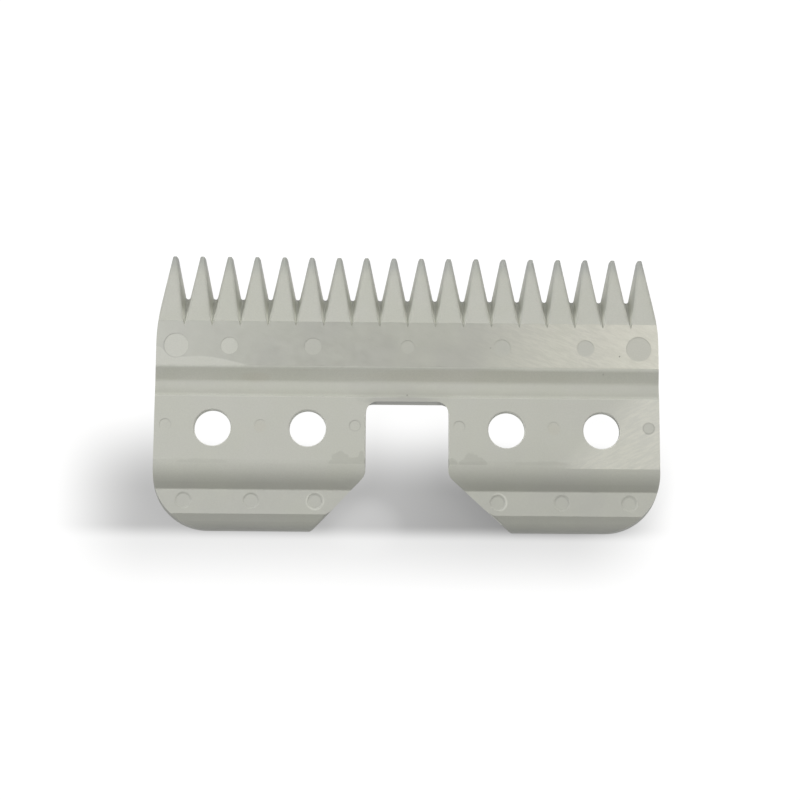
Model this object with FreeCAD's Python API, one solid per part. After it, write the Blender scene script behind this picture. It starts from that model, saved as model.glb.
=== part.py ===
import FreeCAD, Part
import math
import os

# Moving cutter of a detachable clipper blade: one piece of moulded, fired and lapped ceramic.
# Millimetres. The flat cutting face lies on z = 0 and the teeth point along +Y.
# The origin is under the middle of the piece. X runs along the row of teeth.
# Distances called "back" are measured from the line of the tooth tips towards the rear edge.

# Overall sizes
length = 24.66
height = 3.3
side_draft = 5.0
side_margin = 1.19
side_blend_radius = 14.0
rear_corner_radius = 4.9

# Row of teeth
tooth_count = 18
tooth_pitch = 2.45
flank_angle = 12.0
tip_height = 0.55
tip_nose_radius = 0.15
tip_corner = 0.015
tooth_edge_radius = 0.12
gullet_back_base = 3.84
gullet_back_top = 6.9
gullet_radius_base = 0.2
gullet_radius_top = 0.05

# Front land behind the teeth
front_land_back = 6.52
front_land_length = 4.1

# Groove across the top, where the spring guide slides
groove_floor_height = 2.6
groove_front_edge_radius = 0.6
groove_front_run = 1.1
groove_front_foot_radius = 0.4
groove_floor_length = 0.78
groove_rear_run = 0.69
groove_rear_foot_radius = 1.4
groove_rear_foot_share = 0.8

# Rear land, the convex shoulder behind it and the lower land
rear_land_height = 3.28
rear_land_length = 6.67
shoulder_radius = 3.1
shoulder_run = 1.39
shoulder_foot_radius = 0.25
lower_land_height = 2.2
lower_land_length = 2.15
rear_bevel_top = 1.45
rear_bevel_radius = 1.3

# Relief channel under the middle, between the cutting band and the rear rail
relief_depth = 0.5
relief_front_back = 8.6
relief_rear_back = 20.6
relief_wall_run = 0.3
relief_corner_radius = 0.25

# Notch for the drive tongue, open to the rear and wider on the cutting face than on top
notch_back = 13.58
notch_half_width = 3.58
notch_corner_radius = 1.0
notch_side_draft = 8.0
notch_front_draft = 4.3
mouth_back = 20.12
mouth_left = 4.18
mouth_right = 4.93
mouth_bend_radius = 1.2
mouth_corner_radius = 0.35
notch_rim_radius = 0.12

# Four through holes in a row: chamfered rim, straight throat, then a flare to the underside
hole_back = 16.01
inner_hole_spacing = 17.32
outer_hole_spacing = 33.9
hole_radius = 1.59
hole_rim_chamfer = 0.08
hole_throat_length = 0.6
hole_flare = 12.0

# Shallow round mould marks: distance from the middle and radius of each
mark_depth = 0.04
front_mark_back = 8.72
front_mark_middle_radius = 0.6
front_mark_inner_offset = 8.29
front_mark_inner_radius = 0.75
front_mark_outer_offset = 15.62
front_mark_outer_radius = 0.75
front_mark_end_offset = 20.28
front_mark_end_radius = 1.07
rear_mark_back = 15.76
rear_mark_radius = 0.5
rear_mark_inner_offset = 4.53
rear_mark_outer_offset = 12.77
rear_mark_end_offset = 21.06
lower_mark_back = 22.25
lower_mark_radius = 0.58
lower_mark_rim_radius = 0.74
lower_mark_inner_offset = 7.96
lower_mark_outer_offset = 13.53
lower_mark_end_offset = 19.42

# Cutting shapes run this far past the faces that they cut
margin = 0.4

flank_slope = math.tan(math.radians(flank_angle))
flank_cos = math.cos(math.radians(flank_angle))
flank_sin = math.sin(math.radians(flank_angle))
last_tooth_x = (tooth_count - 1) * tooth_pitch / 2
half_width_top = last_tooth_x + side_margin


def back_to_y(back):
    return length / 2 - back


def rounded_corner(before, corner, after, radius):
    """Start, middle and end of the arc that rounds one corner of an outline."""
    arrive = (corner - before).normalize()
    leave = (after - corner).normalize()
    half_turn = arrive.getAngle(leave) / 2
    reach = radius * math.tan(half_turn)
    start = corner - arrive * reach
    end = corner + leave * reach
    inward = (leave - arrive).normalize()
    middle = corner + inward * (radius / math.cos(half_turn) - radius)
    return start, middle, end


def rounded_wire(corners):
    """Closed wire through corners given as (point, radius), with radius 0 for a sharp corner."""
    count = len(corners)
    arcs = []
    for index in range(count):
        corner, radius = corners[index]
        before = corners[index - 1][0]
        after = corners[(index + 1) % count][0]
        if radius > 0:
            arcs.append(rounded_corner(before, corner, after, radius))
        else:
            arcs.append((corner, None, corner))
    edges = []
    for index in range(count):
        start, middle, end = arcs[index]
        if middle is not None:
            edges.append(Part.Arc(start, middle, end).toShape())
        following = arcs[(index + 1) % count][0]
        if end.distanceToPoint(following) > 1e-6:
            edges.append(Part.LineSegment(end, following).toShape())
    return Part.Wire(edges)


def drafted_solid(low_wire, high_wire):
    """Solid between two outlines with the same edges. Straight edges give true planes."""
    faces = [Part.Face(low_wire), Part.Face(high_wire)]
    for low, high in zip(low_wire.OrderedEdges, high_wire.OrderedEdges):
        if isinstance(low.Curve, Part.Line):
            first, second = [vertex.Point for vertex in low.Vertexes]
            third, fourth = [vertex.Point for vertex in high.Vertexes]
            faces.append(Part.Face(Part.makePolygon([first, second, fourth, third, first])))
        else:
            faces.append(Part.makeRuledSurface(low, high))
    shell = Part.makeShell(faces)
    shell.sewShape()
    return Part.makeSolid(shell)


def gullet_centre(z):
    """Radius of the gullet's round end at a height, and how far back its centre lies."""
    share = z / height
    radius = gullet_radius_base + (gullet_radius_top - gullet_radius_base) * share
    end = gullet_back_base + (gullet_back_top - gullet_back_base) * share
    return radius, end - radius


def gap_half_width(z, back):
    """Half the gap between two teeth at a height and a distance behind the tips."""
    radius, centre = gullet_centre(z)
    return radius / flank_cos + flank_slope * (centre - back)


def tooth_half_width(z, back):
    return tooth_pitch / 2 - gap_half_width(z, back)


def body_outline(z):
    """Plan outline at a height: end flanks, blends, drafted sides, rear corners, rear edge."""
    front = -margin
    inset = (height - z) * math.tan(math.radians(side_draft))
    side_x = half_width_top + inset
    flank_x = last_tooth_x + tooth_half_width(z, front)
    flank_back = front + (side_x - flank_x) / flank_slope
    corners = [(flank_x, front, 0), (side_x, flank_back, side_blend_radius),
               (side_x, length, rear_corner_radius)]
    mirrored = [(-x, back, radius) for x, back, radius in reversed(corners)]
    points = [(FreeCAD.Vector(x, back_to_y(back), z), radius) for x, back, radius in corners + mirrored]
    return rounded_wire(points)


def groove_rear_foot():
    """Radius at the foot of the groove's rear wall: its arc takes no more than its share of the floor."""
    wall_angle = math.atan2(rear_land_height - groove_floor_height, groove_rear_run)
    widest = groove_rear_foot_share * groove_floor_length / math.tan(wall_angle / 2)
    return min(groove_rear_foot_radius, widest)


def section_wire(x):
    """Section from tips to rear edge: tooth slope, lands, groove, shoulder, bevel and relief."""
    groove_back = front_land_back + front_land_length
    floor_front = groove_back + groove_front_run
    floor_rear = floor_front + groove_floor_length
    rear_land_back = floor_rear + groove_rear_run
    shoulder_back = rear_land_back + rear_land_length
    lower_land_back = shoulder_back + shoulder_run
    bevel_back = lower_land_back + lower_land_length
    corners = [
        (0, 0, 0),
        (0, tip_height, tip_nose_radius),
        (front_land_back, height, 0),
        (groove_back, height, groove_front_edge_radius),
        (floor_front, groove_floor_height, groove_front_foot_radius),
        (floor_rear, groove_floor_height, groove_rear_foot()),
        (rear_land_back, rear_land_height, 0),
        (shoulder_back, rear_land_height, shoulder_radius),
        (lower_land_back, lower_land_height, shoulder_foot_radius),
        (bevel_back, lower_land_height, 0),
        (length, rear_bevel_top, rear_bevel_radius),
        (length, 0, 0),
        (relief_rear_back, 0, 0),
        (relief_rear_back - relief_wall_run, relief_depth, relief_corner_radius),
        (relief_front_back + relief_wall_run, relief_depth, relief_corner_radius),
        (relief_front_back, 0, 0),
    ]
    return rounded_wire([(FreeCAD.Vector(x, back_to_y(back), z), radius) for back, z, radius in corners])


def blank():
    """The moulded blank before its teeth, notch and holes."""
    sides = drafted_solid(body_outline(-margin), body_outline(height + margin))
    reach = half_width_top + height
    section = Part.Face(section_wire(-reach)).extrude(FreeCAD.Vector(2 * reach, 0, 0))
    return sides.common(section)


def gap_wire(middle_x, z):
    """Outline of the gap between two teeth: two straight flanks and a round end."""
    radius, centre = gullet_centre(z)
    front = -2 * margin
    mouth = gap_half_width(z, front)
    touch_x = radius * flank_cos
    touch_y = back_to_y(centre + radius * flank_sin)
    mouth_y = back_to_y(front)
    left_mouth = FreeCAD.Vector(middle_x - mouth, mouth_y, z)
    left_touch = FreeCAD.Vector(middle_x - touch_x, touch_y, z)
    bottom = FreeCAD.Vector(middle_x, back_to_y(centre + radius), z)
    right_touch = FreeCAD.Vector(middle_x + touch_x, touch_y, z)
    right_mouth = FreeCAD.Vector(middle_x + mouth, mouth_y, z)
    return Part.Wire([
        Part.LineSegment(left_mouth, left_touch).toShape(),
        Part.Arc(left_touch, bottom, right_touch).toShape(),
        Part.LineSegment(right_touch, right_mouth).toShape(),
        Part.LineSegment(right_mouth, left_mouth).toShape(),
    ])


def tooth_gaps():
    """One drafted cutter per gap. The gullet's floor climbs from the cutting face to the land."""
    gaps = []
    for index in range(tooth_count - 1):
        middle_x = (index + 0.5) * tooth_pitch - last_tooth_x
        low = gap_wire(middle_x, -margin / 2)
        high = gap_wire(middle_x, height + margin / 2)
        gaps.append(drafted_solid(low, high))
    return gaps


def tip_rounding():
    """Cutter in front of the whole row that leaves every tip fully round in plan."""
    radius = tooth_half_width(0, 0) * flank_cos / (1 - flank_sin) + tip_corner
    side_y = back_to_y(radius)
    tip_y = back_to_y(0)
    front_y = back_to_y(-3 * margin)
    outer_x = half_width_top + tooth_pitch
    start = FreeCAD.Vector(-outer_x, side_y, 0)
    edges = []
    for index in range(tooth_count):
        x = index * tooth_pitch - last_tooth_x
        left = FreeCAD.Vector(x - radius, side_y, 0)
        right = FreeCAD.Vector(x + radius, side_y, 0)
        edges.append(Part.LineSegment(start, left).toShape())
        edges.append(Part.Arc(left, FreeCAD.Vector(x, tip_y, 0), right).toShape())
        start = right
    border = [start, FreeCAD.Vector(outer_x, side_y, 0), FreeCAD.Vector(outer_x, front_y, 0),
              FreeCAD.Vector(-outer_x, front_y, 0), FreeCAD.Vector(-outer_x, side_y, 0)]
    for first, second in zip(border, border[1:]):
        edges.append(Part.LineSegment(first, second).toShape())
    cutter = Part.Face(Part.Wire(edges)).extrude(FreeCAD.Vector(0, 0, height + 2 * margin))
    cutter.translate(FreeCAD.Vector(0, 0, -margin))
    return cutter


def notch_outline(z):
    """Notch outline at a height: it widens downwards, more at the sides than at the front."""
    growth = (rear_land_height - z) * math.tan(math.radians(notch_side_draft))
    half_width = notch_half_width + growth
    front = notch_back - (rear_land_height - z) * math.tan(math.radians(notch_front_draft))
    rear = length + margin
    mouth_length = length - mouth_back
    sides = []
    for side, spread in ((1, mouth_right), (-1, mouth_left)):
        slant = math.atan(spread / mouth_length)
        bend_back = mouth_back - growth * math.tan(slant / 2)
        rear_x = half_width + (rear - bend_back) * math.tan(slant)
        sides.append([(side * half_width, front, notch_corner_radius),
                      (side * half_width, bend_back, mouth_bend_radius),
                      (side * rear_x, rear, 0)])
    corners = sides[0] + sides[1][::-1]
    points = [(FreeCAD.Vector(x, back_to_y(back), z), radius) for x, back, radius in corners]
    return rounded_wire(points)


def drive_notch():
    """Straight notch with rounded front corners and a flared mouth at the rear edge."""
    return drafted_solid(notch_outline(-margin), notch_outline(height + margin))


def notch_rims():
    """Rounds the rear land's edges along both sides of the notch."""
    front_back = notch_back + notch_corner_radius
    front_y = back_to_y(front_back)
    run = mouth_back - front_back
    wall_run = math.tan(math.radians(notch_side_draft))
    rims = []
    for side in (-1, 1):
        edge = FreeCAD.Vector(side * notch_half_width, front_y, rear_land_height)
        on_land = edge + FreeCAD.Vector(side, 0, 0)
        down_wall = edge + FreeCAD.Vector(side * wall_run, 0, -1)
        land, bulge, wall = rounded_corner(on_land, edge, down_wall, notch_rim_radius)
        above_land = FreeCAD.Vector(land.x, front_y, height + margin)
        above_gap = FreeCAD.Vector(edge.x - side * margin, front_y, height + margin)
        below_gap = FreeCAD.Vector(edge.x - side * margin, front_y, wall.z)
        outline = Part.Wire([
            Part.Arc(wall, bulge, land).toShape(),
            Part.LineSegment(land, above_land).toShape(),
            Part.LineSegment(above_land, above_gap).toShape(),
            Part.LineSegment(above_gap, below_gap).toShape(),
            Part.LineSegment(below_gap, wall).toShape(),
        ])
        rims.append(Part.Face(outline).extrude(FreeCAD.Vector(0, -run, 0)))
    return rims


def hole_cutter(x):
    """Through hole with a chamfered rim on top, a straight throat and a flare below."""
    throat_z = rear_land_height - hole_rim_chamfer
    flare_z = throat_z - hole_throat_length
    base_radius = hole_radius + (flare_z + margin) * math.tan(math.radians(hole_flare))
    top_z = height + margin
    top_radius = hole_radius + top_z - throat_z
    profile = [(0, -margin), (base_radius, -margin), (hole_radius, flare_z), (hole_radius, throat_z),
               (top_radius, top_z), (0, top_z), (0, -margin)]
    outline = Part.makePolygon([FreeCAD.Vector(radius, 0, z) for radius, z in profile])
    cutter = Part.Face(outline).revolve(FreeCAD.Vector(0, 0, 0), FreeCAD.Vector(0, 0, 1), 360)
    cutter.translate(FreeCAD.Vector(x, back_to_y(hole_back), 0))
    return cutter


def holes():
    places = []
    for spacing in (inner_hole_spacing, outer_hole_spacing):
        places += [-spacing / 2, spacing / 2]
    return [hole_cutter(x) for x in places]


def mark(x, back, surface_z, radius):
    """One shallow round recess in a surface at the given height."""
    foot = FreeCAD.Vector(x, back_to_y(back), surface_z - mark_depth)
    return Part.makeCylinder(radius, mark_depth + margin, foot)


def rimmed_mark(x, back, surface_z, radius, rim_radius):
    """One shallow dish whose rim slopes out to a wider circle on the surface."""
    foot = FreeCAD.Vector(x, back_to_y(back), surface_z - mark_depth)
    return Part.makeCone(radius, 2 * rim_radius - radius, 2 * mark_depth, foot)


def mould_marks():
    marks = [mark(0, front_mark_back, height, front_mark_middle_radius)]
    for side in (-1, 1):
        marks += [
            mark(side * front_mark_inner_offset, front_mark_back, height, front_mark_inner_radius),
            mark(side * front_mark_outer_offset, front_mark_back, height, front_mark_outer_radius),
            mark(side * front_mark_end_offset, front_mark_back, height, front_mark_end_radius),
        ]
        for offset in (rear_mark_inner_offset, rear_mark_outer_offset, rear_mark_end_offset):
            marks.append(mark(side * offset, rear_mark_back, rear_land_height, rear_mark_radius))
        for offset in (lower_mark_inner_offset, lower_mark_outer_offset, lower_mark_end_offset):
            marks.append(rimmed_mark(side * offset, lower_mark_back, lower_land_height,
                                     lower_mark_radius, lower_mark_rim_radius))
    return marks


def tooth_slope_edges(blade):
    """The two long edges between each tooth's upper slope and its flanks."""
    slope_length = front_land_back - tip_height
    slope_cos = front_land_back / math.hypot(front_land_back, height - tip_height)
    edges = []
    for face in blade.Faces:
        flat = isinstance(face.Surface, Part.Plane)
        if flat and abs(abs(face.normalAt(0, 0).z) - slope_cos) < 1e-4 and face.CenterOfMass.y > 0:
            edges += [edge for edge in face.Edges
                      if isinstance(edge.Curve, Part.Line) and edge.Length > slope_length / 2
                      and abs(edge.tangentAt(edge.FirstParameter).y) > slope_cos / 2]
    return edges


def mouth_corner_edges(blade):
    """The two upright edges where the mouth of the notch meets the rear edge."""
    rear_y = back_to_y(length)
    edges = []
    for edge in blade.Edges:
        at_rear = all(abs(vertex.Point.y - rear_y) < 1e-4 for vertex in edge.Vertexes)
        inside = abs(edge.CenterOfMass.x) < notch_half_width + 2 * max(mouth_left, mouth_right)
        if at_rear and inside and isinstance(edge.Curve, Part.Line):
            if abs(edge.tangentAt(edge.FirstParameter).z) > 0.5:
                edges.append(edge)
    return edges


def cutter_blade():
    blade = blank()
    blade = blade.cut(tooth_gaps())
    blade = blade.cut(tip_rounding())
    blade = blade.Solids[0].makeFillet(tooth_edge_radius, tooth_slope_edges(blade))
    blade = blade.cut(drive_notch())
    blade = blade.Solids[0].makeFillet(mouth_corner_radius, mouth_corner_edges(blade))
    blade = blade.cut(notch_rims())
    blade = blade.cut(holes())
    blade = blade.cut(mould_marks())
    return blade.Solids[0]


os.makedirs("parts", exist_ok=True)
blade = cutter_blade()
blade.exportStep("parts/cutter_blade.step")
print("cutter_blade", blade.isValid(), round(blade.Volume, 2), blade.BoundBox)
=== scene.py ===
import math
import bpy
from mathutils import Matrix, Vector

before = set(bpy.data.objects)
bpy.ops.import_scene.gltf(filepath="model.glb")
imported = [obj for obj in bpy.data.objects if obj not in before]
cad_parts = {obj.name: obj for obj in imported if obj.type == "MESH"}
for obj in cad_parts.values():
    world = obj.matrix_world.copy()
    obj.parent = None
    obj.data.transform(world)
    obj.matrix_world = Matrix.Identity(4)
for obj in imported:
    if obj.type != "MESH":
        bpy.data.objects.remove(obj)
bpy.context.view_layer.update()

MM = 0.001

# Camera, solved from the tooth tips, holes, marks and edges in the photograph
CAMERA_AZIMUTH = -3.57
CAMERA_ELEVATION = 79.41
CAMERA_ROLL = 4.03
CAMERA_DISTANCE = 188.93 * MM
CAMERA_AIM = Vector((-0.60, -0.495, 0)) * MM
CAMERA_CLIP_START = 0.01
FOCAL_PIXELS = 2127.0
IMAGE_PIXELS = 800
SENSOR_MM = 36.0

# Lamps, all aimed at the origin: name, place, size, power and colour
WHITE = (1.0, 1.0, 1.0)
WARM_WHITE = (1.0, 0.98, 0.91)
LAMPS = (
    ("front_key", (0.10, 0.38, 0.36), (0.36, 0.30), 0.37, WHITE),
    ("left_key", (-0.17, 0.075, 0.30), (0.19, 0.19), 0.59, WHITE),
    ("right_sheen", (0.185, 0.10, 0.42), (0.20, 0.24), 0.55, WARM_WHITE),
)
WORLD_STRENGTH = 0.16

# Section of the blade in millimetres: "back" is the distance behind the tooth tips
BLADE_LENGTH = 24.66
FRONT_LAND_HEIGHT = 3.3
REAR_LAND_HEIGHT = 3.28
FRONT_LAND_START = 6.52
GROOVE_START = 10.62
GROOVE_FLOOR = 11.72
GROOVE_END = 13.19
SHOULDER_START = 19.6
LOWER_LAND_START = 21.25

# Colours are sRGB, 0 to 255. The teeth are painted lighter than the land, as light on their front-facing
# slopes, and the tips darker, as shade on their rounded ends. The teeth's tone fades into the tips' over
# this range behind the tips
TIP_SHADE_TONE = (172, 175, 171)
TOOTH_LIT_TONE = (197, 198, 189)
TIP_FADE = (2.2, 0.2)

# Bands behind the teeth: where each starts, how soon it is full, and its colour. Besides the ceramic's own
# tone they hold painted light and shade on the groove's walls and floor, the shoulder and the lower land
TONE_LIGHT_AND_SHADE_BANDS = (
    (FRONT_LAND_START, 0.05, (190, 191, 182)),
    # Painted light on the groove's front wall
    (GROOVE_START, 0.2, (204, 205, 195)),
    # Painted shade on the groove floor
    (GROOVE_FLOOR - 0.1, 0.2, (181, 182, 173)),
    (GROOVE_FLOOR + 0.4, 0.9, (190, 191, 182)),
    # Painted light on the groove's rear wall
    (GROOVE_END - 0.4, 0.3, (209, 210, 201)),
    (GROOVE_END, 0.1, (191, 192, 183)),
    # Painted shade on the shoulder and, a little less, on the lower land
    (SHOULDER_START, 1.6, (180, 181, 172)),
    (LOWER_LAND_START, 0.1, (182, 183, 175)),
)

# Ground areas: how far below a land's height they start and are full
FRONT_GROUND_DEPTHS = (0.003, 0.001)
REAR_TOP_DEPTHS = (0.02, 0.012)
REAR_SLOPE_DEPTHS = (0.06, 0.054)
REAR_SLOPE_BACK = (18.5, 18.6)
GROUND_TONE = (166, 167, 158)

# Moulded strip left at the front land's rear: its front edge, which bends at both ends
STRIP_RIGHT_BEND = (-18.0, -12.0, 9.74, 10.74)
STRIP_LEFT_BEND = (-20.5, -21.9, 0.0, -0.85)
STRIP_SOFTNESS = 0.12
STRIP_RAGGED = 0.2

# Ground right end of the rear land: a slanting edge through (x, back), and its fade across it
RIGHT_END_PLACE = (18.5, 14.0)
RIGHT_END_SLANT = -0.9
RIGHT_END_FADE = (-1.5, 2.5)
RIGHT_END_SHARE = 0.8

# Ground traces on the rear land: middle (x, back), half sizes and strength
GROUND_TRACES = (
    ((-5.8, 19.05), (0.95, 1.0), 1.0),
    ((-4.9, 19.05), (1.6, 0.52), 1.0),
    ((-3.95, 19.05), (0.3, 1.15), 1.0),
    ((4.0, 19.05), (0.4, 0.5), 0.9),
    ((5.6, 19.05), (0.8, 1.0), 0.9),
    ((5.8, 19.05), (1.3, 0.6), 0.9),
    ((11.9, 19.05), (2.5, 0.3), 0.4),
    ((-17.8, 19.05), (2.2, 0.3), 0.4),
)
TRACE_RAGGED = 2.5
TRACE_TONE = (174, 175, 166)

# Front land: a lighter left end, mark floors darker toward the middle, and glare to the right.
# Each fade is its start, its end and its strength.
UNGROUND_FADE = (-12.0, -16.0, 0.7)
UNGROUND_TONE = (204, 205, 197)
MARK_FLOOR_DEPTH = 0.02
MARK_FLOOR_FADE = (17.0, 2.0, 0.75)
MARK_FLOOR_TONE = (172, 173, 164)
GLARE_FADE = (5.0, 14.0, 0.35)
END_GLARE_FADE = (16.0, 19.0, 0.2)
GLARE_TONE = (212, 210, 194)

# A shaded area at the right rear and the grey rub mark in front of the notch: middle and half sizes
SHADED_AREA = ((10.5, 21.8), (7.5, 4.0))
SHADED_SOFTNESS = 0.9
SHADED_SHARE = 0.16
SHADED_TONE = (150, 151, 143)
RUB_STRIP = ((-0.6, 13.5), (3.2, 0.4))
RUB_STRIP_SHARE = 0.6
RUB_AROUND = ((-0.4, 13.0), (4.0, 1.1))
RUB_AROUND_SHARE = 0.25
RUB_SOFTNESS = 0.6
RUB_TONE = (156, 156, 150)

# Painted highlight along the groove's front edge, toward the right end
GROOVE_EDGE_BACK = (GROOVE_START - 0.2, GROOVE_START, 10.7, 10.85)
GROOVE_EDGE_FADE = (7.0, 11.0, 0.6)
GROOVE_EDGE_HIGHLIGHT_TONE = (222, 223, 213)

# Faint brown stains: middle, half sizes and strength
STAINS = (
    ((-13.3, 11.4), (1.2, 0.4), 0.12),
    ((6.0, 11.2), (9.5, 0.5), 0.07),
    ((-12.8, 15.9), (0.5, 0.5), 0.1),
    ((12.8, 15.9), (0.5, 0.5), 0.1),
)
STAIN_SOFTNESS = 0.7
STAIN_TONE = (172, 152, 122)

# Uneven tone in three sizes: noise scale, detail and roughness, its ramp and strength, and its colour
UNEVEN_TONES = (
    ((260.0, 2.0, 0.5), (0.35, 0.65, 0.2), (187, 191, 173)),
    ((450.0, 4.0, 0.6), (0.3, 0.7, 0.12), (202, 203, 192)),
    ((7000.0, 2.0, 0.6), (0.35, 0.65, 0.12), (160, 161, 153)),
)

# Painted shade and highlight lines around the round marks, each on one side: middle, radius, width, marked
# side, strength and colour
RIM_SHADE = (140, 141, 134)
RIM_HIGHLIGHT = (222, 223, 214)
MARK_RIMS = (
    ((-7.96, 22.25), 0.56, 0.13, (0.3, -0.6), 0.5, RIM_SHADE),
    ((-7.96, 22.25), 0.74, 0.12, (-0.9, 0.5), 0.5, RIM_HIGHLIGHT),
    ((-7.96, 22.25), 0.76, 0.1, (1.0, 0.1), 0.35, RIM_HIGHLIGHT),
    ((7.96, 22.25), 0.56, 0.13, (0.4, -0.9), 0.45, RIM_SHADE),
    ((7.96, 22.25), 0.76, 0.14, (0.95, -0.3), 0.5, (224, 225, 216)),
    ((-13.53, 22.25), 0.6, 0.12, (0.2, -0.9), 0.4, RIM_SHADE),
    ((13.53, 22.25), 0.58, 0.12, (0.3, -0.9), 0.4, RIM_SHADE),
    ((-19.42, 22.25), 0.62, 0.12, (-0.3, -0.9), 0.25, RIM_SHADE),
    ((-4.53, 15.76), 0.5, 0.1, (-0.6, -0.6), 0.3, RIM_SHADE),
    ((-4.53, 15.76), 0.45, 0.1, (0.7, 0.7), 0.3, RIM_SHADE),
    ((4.53, 15.76), 0.5, 0.1, (0.5, -0.8), 0.3, RIM_SHADE),
    ((-21.06, 15.76), 0.5, 0.1, (0.6, -0.6), 0.15, RIM_SHADE),
    ((21.06, 15.76), 0.5, 0.12, (-0.6, 0.6), 0.5, RIM_SHADE),
    ((21.06, 15.76), 0.5, 0.12, (0.6, 0.6), 0.5, RIM_SHADE),
    ((-20.28, 8.72), 1.08, 0.09, (-0.9, 0.5), 0.4, RIM_SHADE),
    ((20.28, 8.72), 1.08, 0.09, (-0.7, -0.5), 0.3, RIM_SHADE),
    ((20.28, 8.72), 1.08, 0.09, (0.7, 0.5), 0.25, RIM_SHADE),
    ((19.42, 22.25), 0.55, 0.15, (0.3, -0.9), 0.35, RIM_SHADE),
)
RIM_SIDE_FADE = (-0.5, 0.6)

# Steep walls, painted lighter or darker as light and shade: ranges behind the tips and across, as start,
# full, end of full and end.
# Steepness is the upward part of the normal, where a wall starts to count and counts in full.
# Painted light on steep walls that the lamps leave dark
PAINTED_WALL_LIGHT_TONE = (234, 235, 227)
HOLE_WALL_STEEPNESS = (0.98, 0.85)
HOLE_WALL_HEIGHTS = (1.6, 2.4)
HOLE_WALL_BACK = (14.1, 14.3, 18.5, 18.7)
HOLE_WALL_FARTHEST = (20.4, 19.4)
HOLE_WALL_SHARE = 0.7
GAP_ROOT_STEEPNESS = (0.7, 0.5)
GAP_ROOT_BACK = (4.6, 6.0, 6.3, 6.9)
GAP_ROOT_SHARE = 0.8
WALL_STEEPNESS = (0.6, 0.4)
MOUTH_WALL_BACK = (19.6, 20.4, 24.0, 24.2)
MOUTH_WALL_X = (3.2, 3.6, 10.0, 10.6)
MOUTH_WALL_SHARE = 0.6
# Painted shade on the notch's front corners and the last hole's right wall
PAINTED_WALL_SHADE_TONE = (110, 111, 101)
NOTCH_CORNER_BACK = (13.3, 13.5, 14.2, 14.5)
NOTCH_CORNER_X = (2.5, 2.9, 4.2, 4.3)
RIGHT_HOLE_BACK = (14.4, 14.6, 16.6, 17.4)
RIGHT_HOLE_X = (17.6, 18.2, 19.3, 19.4)
DARK_WALL_SHARE = 0.6

# Grinding scratches, two crossed sets a land: share of the second set, then for each set
# its turn in degrees and its noise scales along and across
FRONT_SCRATCHES = (0.4, (18.0, 700.0, 4800.0), (34.0, 900.0, 4200.0))
REAR_SCRATCHES = (0.35, (-28.0, 600.0, 3600.0), (-16.0, 900.0, 3600.0))
SCRATCH_NOISE = (3.0, 0.65)
SCRATCH_FADE = (4.0, 15.0, 0.1, 1.0)
SCRATCH_RAMP = (0.4, 0.62, 0.36)
REAR_SCRATCH_GAIN = 1.5
# The scratches are real; their lighter tone toward the right is painted sheen
SCRATCH_SHEEN_TONE = (214, 213, 200)

# Dark specks: middle, radius and strength
SPECKS = (
    ((18.59, 9.39), 0.07, 0.8),
    ((7.27, 8.73), 0.08, 0.3),
    ((17.16, 10.97), 0.07, 0.25),
    ((-0.01, 12.96), 0.08, 0.45),
)
SPECK_TONE = (70, 66, 56)

# Relief and finish. The long edges of the teeth look softer than the mesh, up to EDGE_RADIUS.
RAGGED_NOISE = (900.0, 3.0, 0.6)
PORE_NOISE = (9000.0, 3.0, 0.6)
PORE_HEIGHT = 0.3
SCRATCH_HEIGHT = 2.0
BUMP_STRENGTH = 0.3
BUMP_DISTANCE = 0.01 * MM
EDGE_RADIUS = 0.5 * MM
EDGE_FADE = (6.5, 5.9)
EDGE_SAMPLES = 12
LEVEL = (0.0, 0.0, 1.0)
RIPPLE_NOISE = (1600.0, 3.0, 0.6)
RIPPLE_RAMP = (0.3, 0.7)
GROUND_ROUGHNESS = (0.29, 0.36)
MATT_ROUGHNESS = 0.62
CERAMIC_IOR = 2.15

# Floor: seen as nearly white, with a soft grey shade behind the blade, in the notch and beside it
FLOOR_HALF_SIZE = 2.0
FLOOR_HEIGHT = -0.02 * MM
FLOOR_PAINT = (0.12, 0.12, 0.12, 1.0)
FLOOR_SEEN = 0.97
FLOOR_BOUNCE = 0.55
SHADE_DEPTH = 0.76
SHADE_START = (-22.5, -21.5, 12.4, 13.5)
SHADE_HOLES_X = (4.2, 5.5, 20.5, 21.5)
SHADE_LATER_AT_HOLES = 2.3
SHADE_FULL = 21.3
SHADE_REAR_FADES = ((25.5, 24.0, 0.58), (32.0, 24.5, 0.42))
SHADE_LEFT_FADES = ((-33.0, -22.5, 0.72), (-7.0, 9.0, 0.23))
SHADE_RIGHT_FADE = (25.5, 14.0)
LIGHTER_AREA = ((-3.6, 24.2), (2.8, 2.2))
LIGHTER_SOFTNESS = 0.9
LIGHTER_SHARE = 0.12

# Sockets of the Mix node for numbers, vectors and colours: first, second and result
MIX_SOCKETS = {"FLOAT": (2, 3, 0), "VECTOR": (4, 5, 1), "RGBA": (6, 7, 2)}


def srgb(red, green, blue):
    """Linear colour of an sRGB colour given as 0 to 255."""
    def linear(value):
        share = value / 255
        return share / 12.92 if share <= 0.04045 else ((share + 0.055) / 1.055) ** 2.4
    return (linear(red), linear(green), linear(blue), 1.0)


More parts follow.
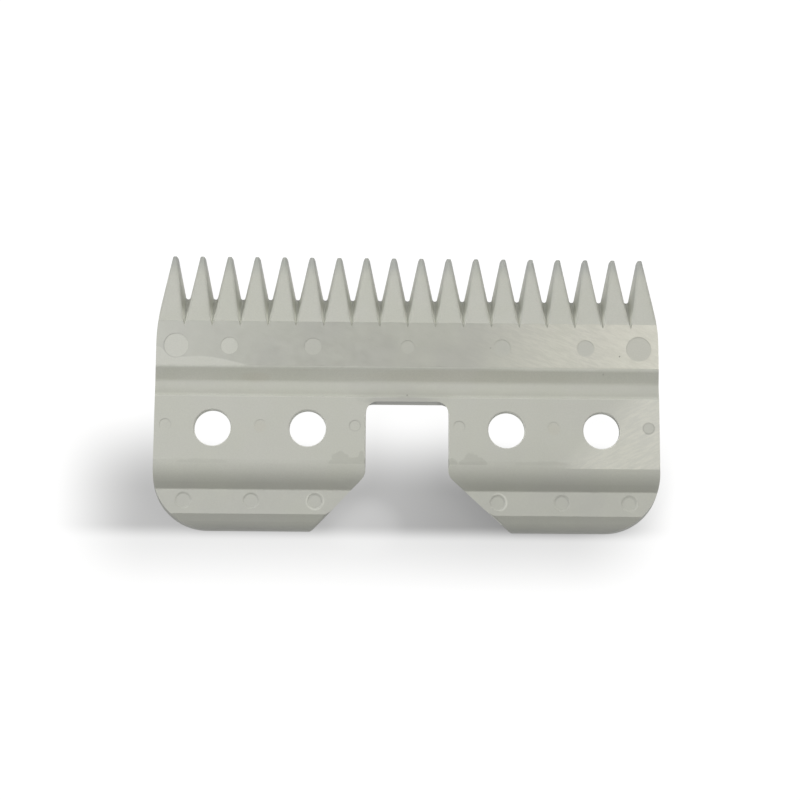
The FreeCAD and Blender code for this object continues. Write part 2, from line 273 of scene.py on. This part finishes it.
class Nodes:
    """Short calls for building one material's node tree."""

    def __init__(self, material):
        material.use_nodes = True
        self.tree = material.node_tree
        self.tree.nodes.clear()

    def add(self, kind, inputs=None, **settings):
        node = self.tree.nodes.new(kind)
        for name, value in settings.items():
            setattr(node, name, value)
        for name, value in (inputs or {}).items():
            if isinstance(value, bpy.types.NodeSocket):
                self.tree.links.new(value, node.inputs[name])
            else:
                node.inputs[name].default_value = value
        return node

    def math(self, operation, first, second=0.0):
        return self.add("ShaderNodeMath", {0: first, 1: second}, operation=operation).outputs[0]

    def plus(self, first, second):
        return self.math("ADD", first, second)

    def minus(self, first, second):
        return self.math("SUBTRACT", first, second)

    def times(self, first, second):
        return self.math("MULTIPLY", first, second)

    def larger(self, first, second):
        return self.math("MAXIMUM", first, second)

    def step(self, value, start, end, low=0.0, high=1.0):
        """Smooth ramp from low to high while value goes from start to end."""
        node = self.add("ShaderNodeMapRange",
                        {"Value": value, "From Min": start, "From Max": end, "To Min": low, "To Max": high},
                        interpolation_type="SMOOTHSTEP")
        return node.outputs["Result"]

    def fade(self, value, start, end, strength):
        """Smooth ramp from 0 to strength."""
        return self.step(value, start, end, 0.0, strength)

    def within(self, value, limits):
        """1 in a range with soft ends: limits are its start, full, end of full and end."""
        start, full, full_end, end = limits
        return self.times(self.step(value, start, full), self.step(value, end, full_end))

    def mixed(self, kind, share, first, second):
        """Mix of two numbers, vectors or colours."""
        first_socket, second_socket, result = MIX_SOCKETS[kind]
        node = self.add("ShaderNodeMix", {0: share, first_socket: first, second_socket: second},
                        data_type=kind)
        return node.outputs[result]

    def blend(self, share, first, second):
        """Number between first and second."""
        return self.mixed("FLOAT", share, first, second)

    def paint(self, share, colour, tone):
        """The colour, covered by share with an sRGB tone."""
        return self.mixed("RGBA", share, colour, srgb(*tone))

    def noise(self, vector, scale, detail, roughness):
        node = self.add("ShaderNodeTexNoise",
                        {"Vector": vector, "Scale": scale, "Detail": detail, "Roughness": roughness})
        return node.outputs["Fac"]

    def streaks(self, place, turn, along, across):
        """Noise drawn out into lines: turned about Z by degrees, then scaled along and across."""
        turned = self.add("ShaderNodeVectorRotate", {"Vector": place, "Angle": math.radians(turn)},
                          rotation_type="Z_AXIS")
        scaled = self.add("ShaderNodeVectorMath", {0: turned.outputs[0], 1: (along, across, along)},
                          operation="MULTIPLY")
        return self.noise(scaled.outputs[0], 1.0, *SCRATCH_NOISE)

    def crossed(self, place, sets):
        """Two crossed sets of lines."""
        share, first, second = sets
        return self.blend(share, self.streaks(place, *first), self.streaks(place, *second))

    def millimetres(self, place):
        """X, distance behind the tips and Z of a point, all in millimetres."""
        x, y, z = self.add("ShaderNodeSeparateXYZ", {0: place}).outputs
        back = self.minus(BLADE_LENGTH / 2, self.times(y, 1 / MM))
        return self.times(x, 1 / MM), back, self.times(z, 1 / MM)

    def upward(self):
        """Upward part of the true normal: 1 on a level face, 0 on an upright wall."""
        normal = self.add("ShaderNodeNewGeometry").outputs["True Normal"]
        return self.add("ShaderNodeSeparateXYZ", {0: normal}).outputs[2]

    def island(self, x, back, middle, half_sizes, ragged, soft=0.2):
        """Oval island: 1 inside and 0 outside, with a soft and ragged outline."""
        across = self.math("DIVIDE", self.minus(x, middle[0]), half_sizes[0])
        along = self.math("DIVIDE", self.minus(back, middle[1]), half_sizes[1])
        reach = self.plus(self.times(across, across), self.times(along, along))
        return self.step(self.plus(reach, ragged), 1.0 + soft, 1.0 - soft)

    def ring(self, x, back, middle, radius, width, facing):
        """Soft circle line, strongest on the side that faces the given direction (x, back)."""
        across = self.minus(x, middle[0])
        along = self.minus(back, middle[1])
        distance = self.math("SQRT", self.plus(self.times(across, across), self.times(along, along)))
        off_line = self.math("ABSOLUTE", self.minus(distance, radius))
        side = self.plus(self.times(across, facing[0] / radius), self.times(along, facing[1] / radius))
        return self.times(self.step(off_line, width, 0.0), self.step(side, *RIM_SIDE_FADE))


def near_height(n, z, height, depths):
    """1 near the height of a land, for depths below it where this starts and is full."""
    start, full = depths
    return n.step(z, height - start, height - full)


def front_ground_share(n, x, back, z, ragged):
    """The ground front land, less the moulded strip at its rear."""
    strip_front = n.plus(n.step(x, *STRIP_RIGHT_BEND), n.step(x, *STRIP_LEFT_BEND))
    into_strip = n.minus(n.plus(back, n.times(ragged, STRIP_RAGGED)), strip_front)
    land_top = near_height(n, z, FRONT_LAND_HEIGHT, FRONT_GROUND_DEPTHS)
    return n.times(land_top, n.step(into_strip, STRIP_SOFTNESS, -STRIP_SOFTNESS))


def rear_land_share(n, back, z):
    """The flat top of the rear land, and that top with the start of the shoulder."""
    behind_groove = n.math("GREATER_THAN", back, GROOVE_END)
    top = n.times(near_height(n, z, REAR_LAND_HEIGHT, REAR_TOP_DEPTHS), behind_groove)
    slope = n.times(near_height(n, z, REAR_LAND_HEIGHT, REAR_SLOPE_DEPTHS), n.step(back, *REAR_SLOPE_BACK))
    return top, n.larger(top, slope)


def trace_share(n, x, back, rear_top, ragged):
    """Small ground traces along the rear land's rear edge."""
    traces = 0.0
    for middle, half_sizes, strength in GROUND_TRACES:
        trace = n.island(x, back, middle, half_sizes, n.times(ragged, TRACE_RAGGED))
        traces = n.larger(traces, n.times(trace, strength))
    return n.times(rear_top, traces)


def right_end_share(n, x, back, rear_land, ragged):
    """The ground right end of the rear land."""
    edge_x, edge_back = RIGHT_END_PLACE
    edge = n.plus(n.times(n.minus(back, edge_back), RIGHT_END_SLANT), edge_x)
    past_edge = n.step(n.minus(n.plus(x, ragged), edge), *RIGHT_END_FADE)
    return n.times(rear_land, past_edge)


def band_colour_with_light_and_shade(n, back):
    """Colour of each band across the blade, from the tips to the rear edge, with painted light and shade in
    it.
    """
    colour = n.paint(n.step(back, *TIP_FADE), srgb(*TOOTH_LIT_TONE), TIP_SHADE_TONE)
    for start, length, tone in TONE_LIGHT_AND_SHADE_BANDS:
        colour = n.paint(n.step(back, start, start + length), colour, tone)
    return colour


def front_land_colour(n, x, back, z, front_ground, colour):
    """Tones on the front land: its ground and moulded parts, its marks and the glare on it."""
    colour = n.paint(front_ground, colour, GROUND_TONE)
    land = (FRONT_LAND_START, FRONT_LAND_START + 0.05, GROOVE_START - 0.05, GROOVE_START + 0.05)
    unground = n.times(n.within(back, land), n.minus(1.0, front_ground))
    mark_floor = n.times(unground, n.math("LESS_THAN", z, FRONT_LAND_HEIGHT - MARK_FLOOR_DEPTH))
    colour = n.paint(n.times(unground, n.fade(x, *UNGROUND_FADE)), colour, UNGROUND_TONE)
    toward_middle = n.fade(n.math("ABSOLUTE", x), *MARK_FLOOR_FADE)
    colour = n.paint(n.times(mark_floor, toward_middle), colour, MARK_FLOOR_TONE)
    glare = n.times(front_ground, n.fade(x, *GLARE_FADE))
    end_glare = n.times(n.plus(front_ground, mark_floor), n.fade(x, *END_GLARE_FADE))
    return n.paint(n.plus(glare, end_glare), colour, GLARE_TONE)


def stains_shade_and_highlight_colour(n, x, back, ragged, colour):
    """Stains and rub marks, with a painted shade at the right rear and a painted highlight along the
    groove's front edge.
    """
    shaded = n.island(x, back, *SHADED_AREA, 0.0, SHADED_SOFTNESS)
    colour = n.paint(n.times(shaded, SHADED_SHARE), colour, SHADED_TONE)
    rub_strip = n.island(x, back, *RUB_STRIP, ragged, RUB_SOFTNESS)
    rub_around = n.island(x, back, *RUB_AROUND, ragged, RUB_SOFTNESS)
    rub = n.larger(n.times(rub_strip, RUB_STRIP_SHARE), n.times(rub_around, RUB_AROUND_SHARE))
    colour = n.paint(rub, colour, RUB_TONE)
    groove_edge_highlight = n.times(n.within(back, GROOVE_EDGE_BACK), n.fade(x, *GROOVE_EDGE_FADE))
    colour = n.paint(groove_edge_highlight, colour, GROOVE_EDGE_HIGHLIGHT_TONE)
    for middle, half_sizes, strength in STAINS:
        stain = n.island(x, back, middle, half_sizes, ragged, STAIN_SOFTNESS)
        colour = n.paint(n.times(stain, strength), colour, STAIN_TONE)
    return colour


def uneven_colour(n, place, colour):
    """Cloudy tint, mottle and grain of the fired ceramic."""
    for noise, ramp, tone in UNEVEN_TONES:
        colour = n.paint(n.fade(n.noise(place, *noise), *ramp), colour, tone)
    return colour


def rim_shade_and_highlight(n, x, back, colour):
    """Painted shade and highlight lines around the round mould marks."""
    for middle, radius, width, facing, strength, tone in MARK_RIMS:
        rim = n.ring(x, back, middle, radius, width, facing)
        colour = n.paint(n.times(rim, strength), colour, tone)
    return colour


def painted_wall_light_share(n, x, back, z, upward):
    """Steep walls painted lighter, as light into them: tooth gap roots, holes, notch sides and the mouth's
    right wall.
    """
    steep = n.times(n.step(upward, *HOLE_WALL_STEEPNESS), n.step(z, *HOLE_WALL_HEIGHTS))
    holes = n.times(n.within(back, HOLE_WALL_BACK), HOLE_WALL_SHARE)
    holes = n.times(holes, n.step(n.math("ABSOLUTE", x), *HOLE_WALL_FARTHEST))
    roots = n.times(n.within(back, GAP_ROOT_BACK), GAP_ROOT_SHARE)
    roots = n.times(roots, n.step(upward, *GAP_ROOT_STEEPNESS))
    mouth = n.times(n.step(upward, *WALL_STEEPNESS), n.within(back, MOUTH_WALL_BACK))
    mouth = n.times(mouth, n.times(n.within(x, MOUTH_WALL_X), MOUTH_WALL_SHARE))
    return n.larger(n.larger(n.times(steep, holes), roots), mouth)


def painted_wall_shade_share(n, x, back, upward):
    """Steep walls painted darker, as shade: the notch's front corners and the right side of the last hole.
    """
    corners = n.times(n.within(n.math("ABSOLUTE", x), NOTCH_CORNER_X), n.within(back, NOTCH_CORNER_BACK))
    right_hole = n.times(n.within(x, RIGHT_HOLE_X), n.within(back, RIGHT_HOLE_BACK))
    return n.times(n.larger(corners, right_hole), n.fade(upward, *WALL_STEEPNESS, DARK_WALL_SHARE))


def speck_colour(n, x, back, colour):
    """Dark specks."""
    for middle, radius, strength in SPECKS:
        speck = n.island(x, back, middle, (radius, radius), 0.0)
        colour = n.paint(n.times(speck, strength), colour, SPECK_TONE)
    return colour


def surface_normal(n, place, back, right_end, scratch_relief):
    """Normal with softened tooth edges, pores and scratches."""
    rounded = n.add("ShaderNodeBevel", {"Radius": n.fade(back, *EDGE_FADE, EDGE_RADIUS)},
                    samples=EDGE_SAMPLES)
    level = n.mixed("VECTOR", right_end, rounded.outputs[0], LEVEL)
    relief = n.plus(n.times(n.noise(place, *PORE_NOISE), PORE_HEIGHT), scratch_relief)
    bump = n.add("ShaderNodeBump", {"Strength": BUMP_STRENGTH, "Distance": BUMP_DISTANCE,
                                    "Height": relief, "Normal": level})
    return bump.outputs[0]


def ceramic_material():
    """Pale grey-green unglazed ceramic: matt as fired, with a sheen where it is ground, and painted light
    and shade in its colour.
    """
    material = bpy.data.materials.new("ceramic_ground")
    n = Nodes(material)
    place = n.add("ShaderNodeTexCoord").outputs["Object"]
    x, back, z = n.millimetres(place)
    ragged = n.minus(n.noise(place, *RAGGED_NOISE), 0.5)
    front_ground = front_ground_share(n, x, back, z, ragged)
    rear_top, rear_land = rear_land_share(n, back, z)
    right_end = right_end_share(n, x, back, rear_land, ragged)
    ground_share = n.larger(front_ground, n.times(right_end, RIGHT_END_SHARE))
    scratches = n.blend(rear_land, n.crossed(place, FRONT_SCRATCHES), n.crossed(place, REAR_SCRATCHES))
    scratch_share = n.times(ground_share, n.step(x, *SCRATCH_FADE))

    colour = band_colour_with_light_and_shade(n, back)
    colour = n.paint(trace_share(n, x, back, rear_top, ragged), colour, TRACE_TONE)
    colour = front_land_colour(n, x, back, z, front_ground, colour)
    colour = stains_shade_and_highlight_colour(n, x, back, ragged, colour)
    colour = uneven_colour(n, place, colour)
    colour = rim_shade_and_highlight(n, x, back, colour)
    upward = n.upward()
    colour = n.paint(painted_wall_light_share(n, x, back, z, upward), colour, PAINTED_WALL_LIGHT_TONE)
    colour = n.paint(painted_wall_shade_share(n, x, back, upward), colour, PAINTED_WALL_SHADE_TONE)
    # Scratch lines painted lighter as sheen, stronger on the rear land
    scratch_sheen = n.times(scratch_share, n.blend(rear_land, 1.0, REAR_SCRATCH_GAIN))
    colour = n.paint(n.times(scratch_sheen, n.fade(scratches, *SCRATCH_RAMP)), colour, SCRATCH_SHEEN_TONE)
    colour = speck_colour(n, x, back, colour)

    scratch_relief = n.times(scratch_share, n.times(scratches, SCRATCH_HEIGHT))
    normal = surface_normal(n, place, back, right_end, scratch_relief)
    patchy = n.step(n.noise(place, *RIPPLE_NOISE), *RIPPLE_RAMP, *GROUND_ROUGHNESS)
    roughness = n.blend(ground_share, MATT_ROUGHNESS, patchy)
    surface = n.add("ShaderNodeBsdfPrincipled",
                    {"Base Color": colour, "Roughness": roughness, "IOR": CERAMIC_IOR, "Normal": normal})
    n.add("ShaderNodeOutputMaterial", {"Surface": surface.outputs[0]})
    return material


def floor_shade(n, x, back):
    """Soft grey shade on the floor, 0 to about 1."""
    at_holes = n.within(n.math("ABSOLUTE", x), SHADE_HOLES_X)
    start = n.plus(n.step(x, *SHADE_START), n.times(at_holes, SHADE_LATER_AT_HOLES))
    behind = n.step(back, start, SHADE_FULL)
    rear_near, rear_far = SHADE_REAR_FADES
    past_edge = n.plus(n.fade(back, *rear_near), n.fade(back, *rear_far))
    left_near, left_far = SHADE_LEFT_FADES
    from_left = n.plus(n.fade(x, *left_near), n.fade(x, *left_far))
    from_right = n.step(x, *SHADE_RIGHT_FADE)
    shade = n.times(n.times(behind, past_edge), n.times(from_left, from_right))
    lighter = n.times(n.island(x, back, *LIGHTER_AREA, 0.0, LIGHTER_SOFTNESS), LIGHTER_SHARE)
    return n.times(shade, n.minus(1.0, lighter))


def glowing(n, strength):
    """White light of the given strength."""
    return n.add("ShaderNodeEmission", {"Color": (*WHITE, 1.0), "Strength": strength}).outputs[0]


def floor_material():
    """White studio floor: it keeps the blade's shadow and shows a soft grey shade behind it."""
    material = bpy.data.materials.new("studio_floor")
    n = Nodes(material)
    x, back, z = n.millimetres(n.add("ShaderNodeTexCoord").outputs["Object"])
    ray = n.add("ShaderNodeLightPath")
    seen = n.larger(ray.outputs["Is Camera Ray"], ray.outputs["Is Glossy Ray"])
    seen = n.larger(seen, ray.outputs["Is Transmission Ray"])
    glow = n.minus(FLOOR_SEEN, n.times(floor_shade(n, x, back), SHADE_DEPTH))
    paint = n.add("ShaderNodeBsdfDiffuse", {"Color": FLOOR_PAINT}).outputs[0]
    seen_light = glowing(n, n.times(seen, glow))
    bounced_light = glowing(n, n.times(n.minus(1.0, seen), FLOOR_BOUNCE))
    both = n.add("ShaderNodeAddShader", {0: paint, 1: seen_light})
    all_light = n.add("ShaderNodeAddShader", {0: both.outputs[0], 1: bounced_light})
    n.add("ShaderNodeOutputMaterial", {"Surface": all_light.outputs[0]})
    return material


def plane(name, half, z, material):
    """Level square with one material."""
    corners = [(-half, -half, z), (half, -half, z), (half, half, z), (-half, half, z)]
    mesh = bpy.data.meshes.new(name)
    mesh.from_pydata(corners, [], [(0, 1, 2, 3)])
    mesh.materials.append(material)
    obj = bpy.data.objects.new(name, mesh)
    bpy.context.scene.collection.objects.link(obj)
    return obj


def area_light(name, location, size, power, colour):
    """Rectangular lamp aimed at the origin."""
    light = bpy.data.lights.new(name, "AREA")
    light.color = colour
    light.shape = "RECTANGLE"
    light.size, light.size_y = size
    light.energy = power
    obj = bpy.data.objects.new(name, light)
    bpy.context.scene.collection.objects.link(obj)
    obj.location = location
    obj.rotation_mode = "QUATERNION"
    obj.rotation_quaternion = (-Vector(location)).to_track_quat("-Z", "Y")


def world_light(strength):
    """Even white light from all around."""
    world = bpy.data.worlds.new("studio_world")
    world.use_nodes = True
    background = world.node_tree.nodes["Background"]
    background.inputs["Color"].default_value = (*WHITE, 1.0)
    background.inputs["Strength"].default_value = strength
    bpy.context.scene.world = world


def photo_camera():
    """Camera at the photograph's viewing angle."""
    azimuth, elevation, roll = (math.radians(a) for a in (CAMERA_AZIMUTH, CAMERA_ELEVATION, CAMERA_ROLL))
    back = Vector((math.sin(azimuth) * math.cos(elevation), -math.cos(azimuth) * math.cos(elevation),
                   math.sin(elevation)))
    level = Vector((math.cos(azimuth), math.sin(azimuth), 0.0))
    raised = back.cross(level)
    right = level * math.cos(roll) + raised * math.sin(roll)
    up = raised * math.cos(roll) - level * math.sin(roll)
    data = bpy.data.cameras.new("photo_camera")
    data.sensor_width = SENSOR_MM
    data.lens = SENSOR_MM * FOCAL_PIXELS / IMAGE_PIXELS
    data.clip_start = CAMERA_CLIP_START
    camera = bpy.data.objects.new("photo_camera", data)
    bpy.context.scene.collection.objects.link(camera)
    turn = Matrix((right, up, back)).transposed().to_4x4()
    camera.matrix_world = Matrix.Translation(CAMERA_AIM + back * CAMERA_DISTANCE) @ turn
    bpy.context.scene.camera = camera


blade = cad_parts["cutter_blade"]
blade.data.materials.clear()
blade.data.materials.append(ceramic_material())

floor = plane("studio_floor", FLOOR_HALF_SIZE, FLOOR_HEIGHT, floor_material())
for lamp in LAMPS:
    area_light(*lamp)
world_light(WORLD_STRENGTH)
photo_camera()
bpy.context.scene.view_settings.view_transform = "Standard"
